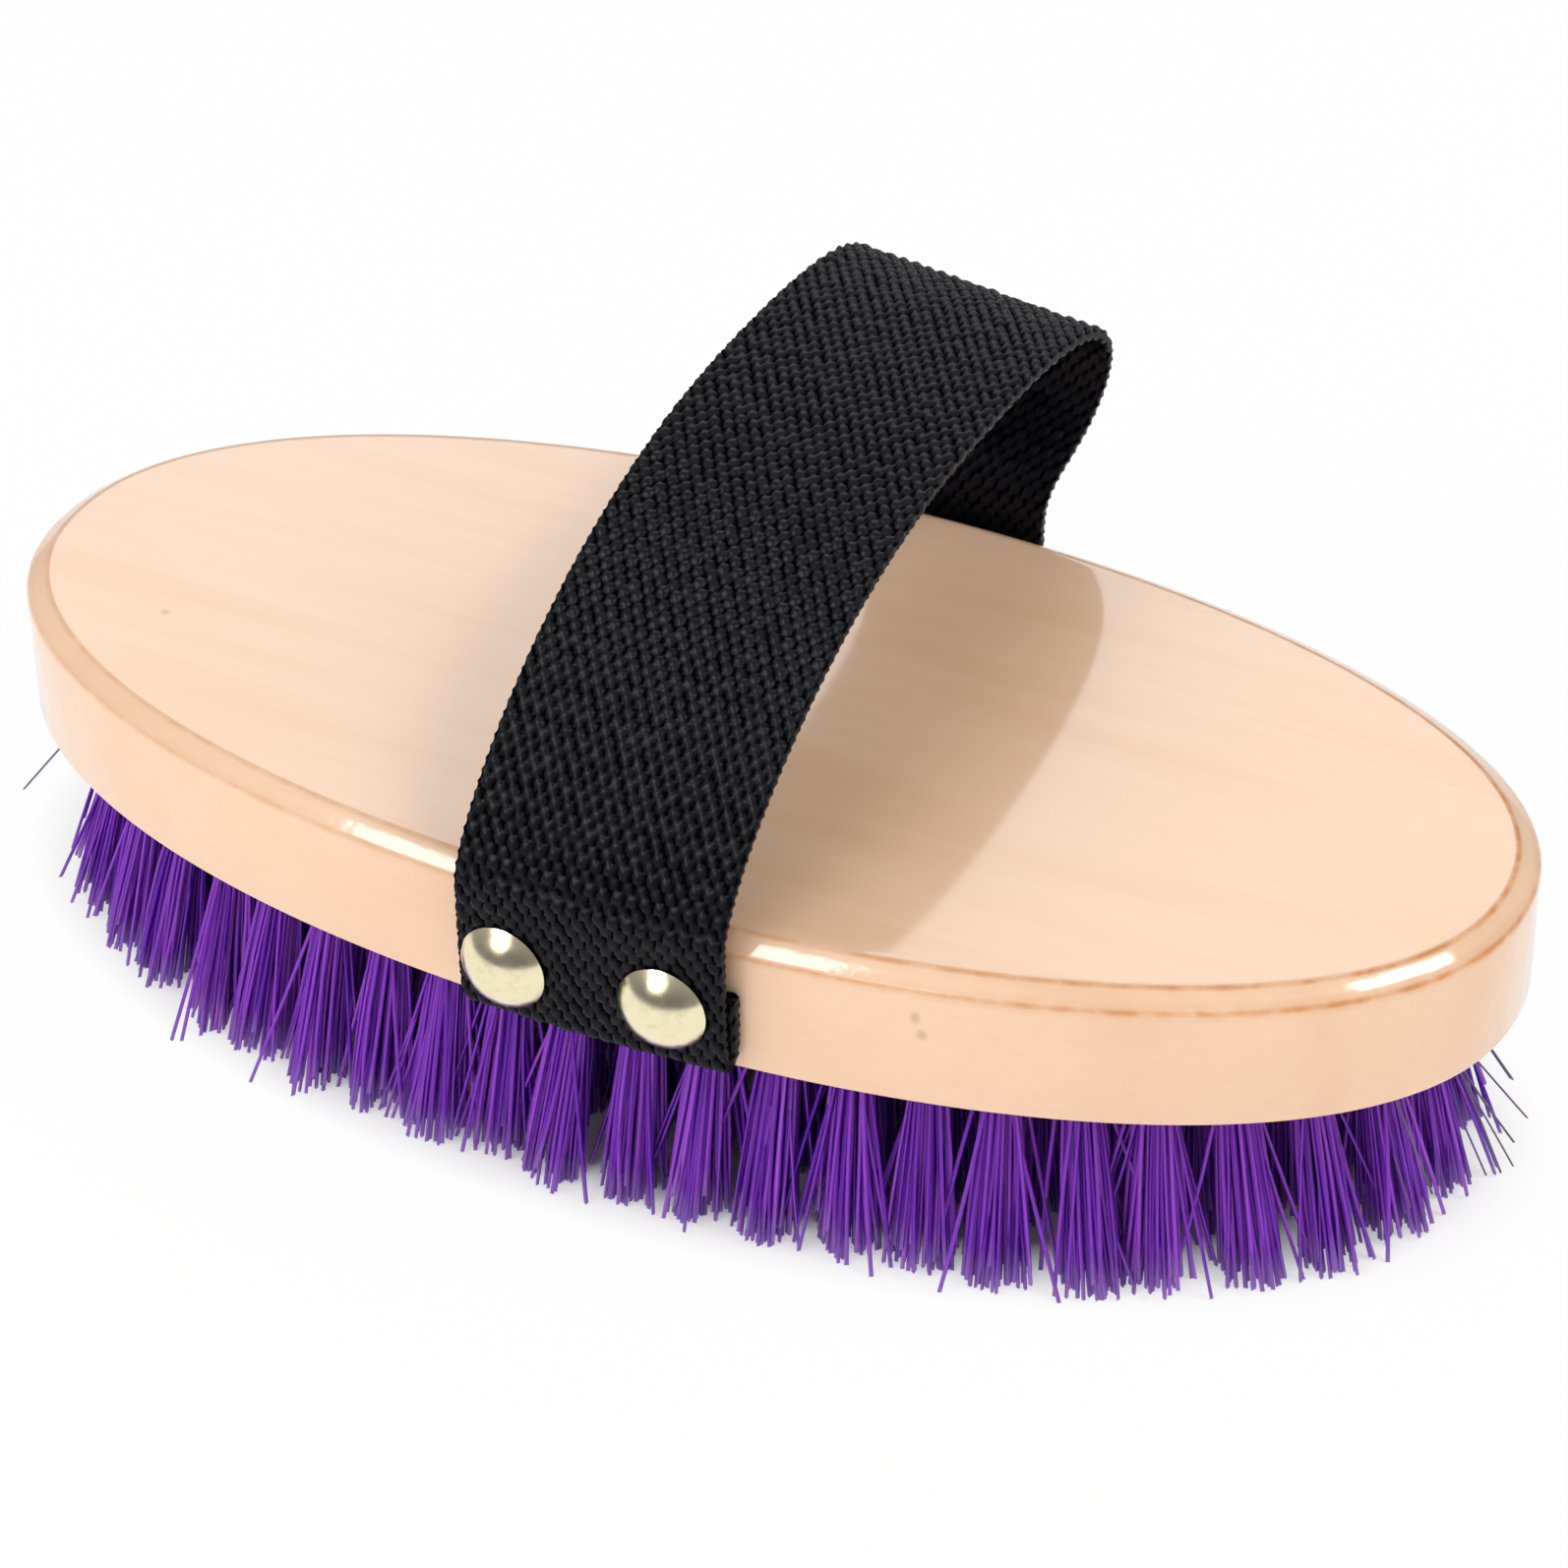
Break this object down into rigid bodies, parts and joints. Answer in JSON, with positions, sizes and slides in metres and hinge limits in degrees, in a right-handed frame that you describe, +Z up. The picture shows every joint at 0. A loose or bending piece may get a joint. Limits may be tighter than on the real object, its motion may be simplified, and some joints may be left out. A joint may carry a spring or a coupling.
{
  "type": "oval body brush",
  "caption": "Oval wooden grooming brush with rows of purple bristle tufts, a chamfered varnished back and a black webbing hand strap nailed to both long sides.",
  "frame": {"origin": "on the plane of the bristle tips, under the middle of the wooden back", "axes": "+X along the length of the back, +Y to the rear side that the strap leans towards, +Z up"},
  "size_m": [0.205, 0.1184, 0.0821],
  "materials": {
    "varnished_wood": "clear gloss varnish over pale wood",
    "bristle": "purple synthetic filament",
    "webbing": "black woven polypropylene",
    "brass": "bright domed nail heads",
    "anchor_wire": "flat steel wire"
  },
  "bodies": {
    "back": {"wooden_back": "varnished_wood", "tuft_row_outer": "bristle", "tuft_row_second": "bristle", "tuft_row_third": "bristle", "tuft_row_inner": "bristle", "tuft_row_centre": "bristle", "tuft_anchors": "anchor_wire", "strap_end_front": "webbing", "strap_end_rear": "webbing", "strap_leg_front": "webbing", "strap_leg_rear": "webbing", "nail_front_left": "brass", "nail_front_right": "brass", "nail_rear_left": "brass", "nail_rear_right": "brass"},
    "strap": {"strap_crown": "webbing"}
  },
  "joints": [
    {"name": "strap_press", "type": "slide", "parent": "back", "child": "strap", "axis": [0, 0, 1], "range_m": [-0.014, 0.005], "stiffness_N_per_m": 150, "deforming": ["strap_leg_front", "strap_leg_rear"]}
  ]
}
